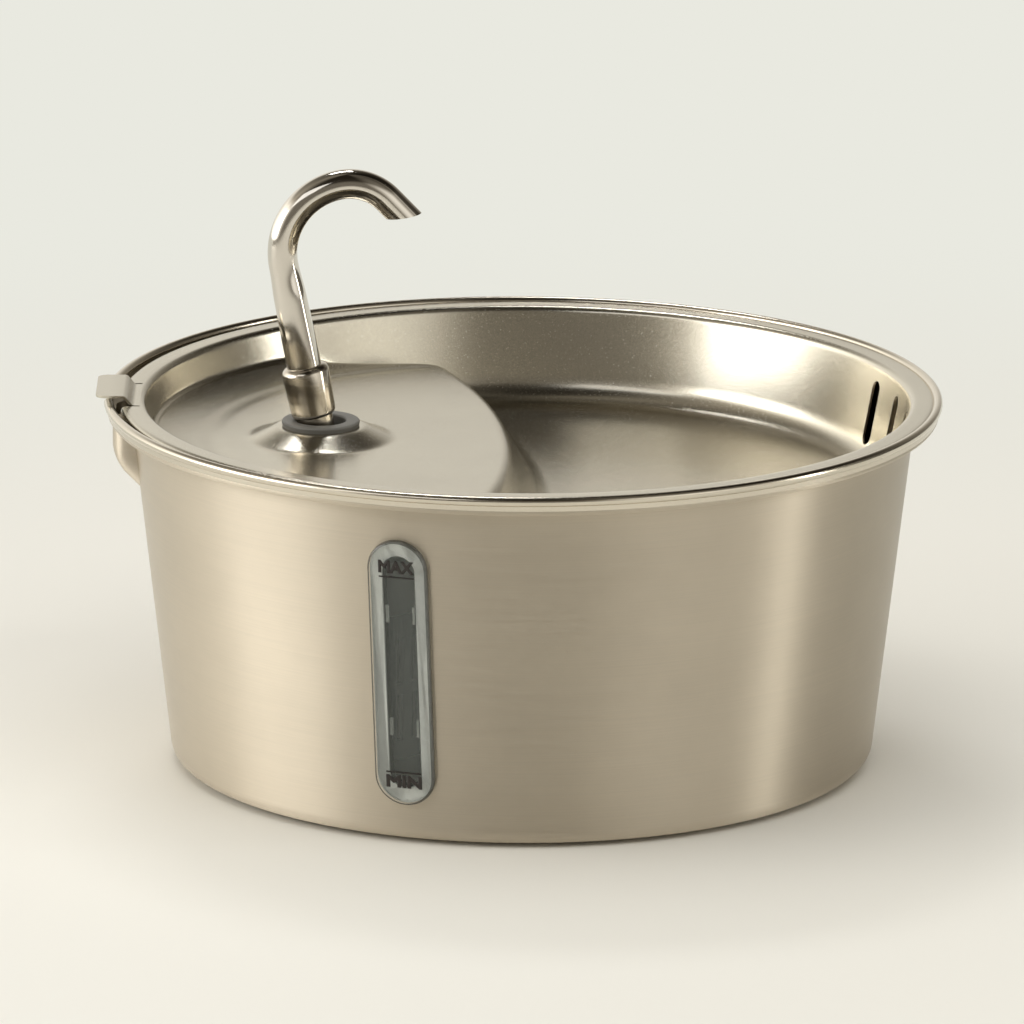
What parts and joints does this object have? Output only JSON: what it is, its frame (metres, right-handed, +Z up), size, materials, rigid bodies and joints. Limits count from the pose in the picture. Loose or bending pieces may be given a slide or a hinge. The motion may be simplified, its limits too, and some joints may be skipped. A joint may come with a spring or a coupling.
{
  "type": "pet water fountain",
  "caption": "Round stainless pet water fountain: tub with a level window, lift-off pressed tray with a gooseneck spout, and a submerged pump with a filter cartridge.",
  "frame": {"origin": "centre of the underside of the anti-slip pad, on the floor", "axes": "+Z up; -X towards the lift tab and the cord channel, +X towards the drain slots of the tray"},
  "size_m": [0.2474, 0.245, 0.1767],
  "materials": {
    "tub_steel": "stainless sheet, brushed around the wall",
    "tray_steel": "stainless sheet, fine satin",
    "spout_steel": "polished stainless tube",
    "fitting_steel": "turned stainless, satin",
    "screw_steel": "stainless, machine finish",
    "pad_rubber": "matte anti-slip rubber",
    "gasket_silicone": "soft grey-blue silicone",
    "grommet_silicone": "soft grey silicone",
    "clear_silicone": "milky silicone",
    "lens_clear": "clear moulded plastic",
    "frame_plastic": "dark moulded plastic",
    "case_plastic": "dark grey moulded plastic",
    "pump_plastic": "black moulded plastic",
    "cap_plastic": "off-white moulded plastic",
    "impeller_plastic": "white moulded plastic",
    "sponge_foam": "open-cell foam",
    "fleece_felt": "needled felt",
    "carbon_granules": "loose activated carbon",
    "magnet_ferrite": "sintered ferrite",
    "shaft_ceramic": "ground white ceramic",
    "bush_rubber": "black rubber",
    "core_steel": "laminated steel",
    "coil_copper": "enamelled copper wire"
  },
  "bodies": {
    "tub_unit": {"tub": "tub_steel", "foot_pad": "pad_rubber", "window_gasket": "gasket_silicone", "window_lens": "lens_clear", "window_frame": "frame_plastic", "window_screws": "screw_steel", "filter_case": "case_plastic", "suction_cups": "clear_silicone", "intake_sponge": "sponge_foam", "pump_housing": "pump_plastic", "pump_cover": "pump_plastic", "shaft_bushes": "bush_rubber", "rotor_shaft": "shaft_ceramic", "coil_core": "core_steel", "coil_winding": "coil_copper", "cable_gland": "bush_rubber", "pump_feet": "bush_rubber"},
    "tray_unit": {"tray": "tray_steel", "spout_grommet": "grommet_silicone", "spout_stem": "fitting_steel", "spout_collar": "fitting_steel", "elbow_sleeve": "clear_silicone"},
    "spout": {"spout_tube": "spout_steel", "spout_seal": "bush_rubber"},
    "rotor": {"impeller": "impeller_plastic", "rotor_magnet": "magnet_ferrite"},
    "slider": {"flow_slider": "case_plastic"},
    "cartridge": {"filter_basket": "cap_plastic", "carbon_bed": "carbon_granules", "fleece_pad": "fleece_felt"},
    "cap": {"filter_cap": "cap_plastic"}
  },
  "joints": [
    {"name": "tray_lift", "type": "slide", "parent": "tub_unit", "child": "tray_unit", "axis": [0, 0, 1], "range_m": [0, 0.12]},
    {"name": "spout_swivel", "type": "hinge", "parent": "tray_unit", "child": "spout", "pos_m": [-0.055, 0, 0.0724], "axis": [-0.1942, 0, 0.981], "range_deg": [-180, 180]},
    {"name": "rotor_spin", "type": "hinge", "parent": "tub_unit", "child": "rotor", "pos_m": [-0.065, 0, 0.026], "axis": [1, 0, 0], "continuous": true},
    {"name": "flow_slide", "type": "slide", "parent": "tub_unit", "child": "slider", "axis": [0, 0, 1], "range_m": [0, 0.007]},
    {"name": "cartridge_lift", "type": "slide", "parent": "tub_unit", "child": "cartridge", "axis": [0, 0, 1], "range_m": [0, 0.024]},
    {"name": "cap_lift", "type": "slide", "parent": "cartridge", "child": "cap", "axis": [0, 0, 1], "range_m": [0, 0.025]}
  ]
}
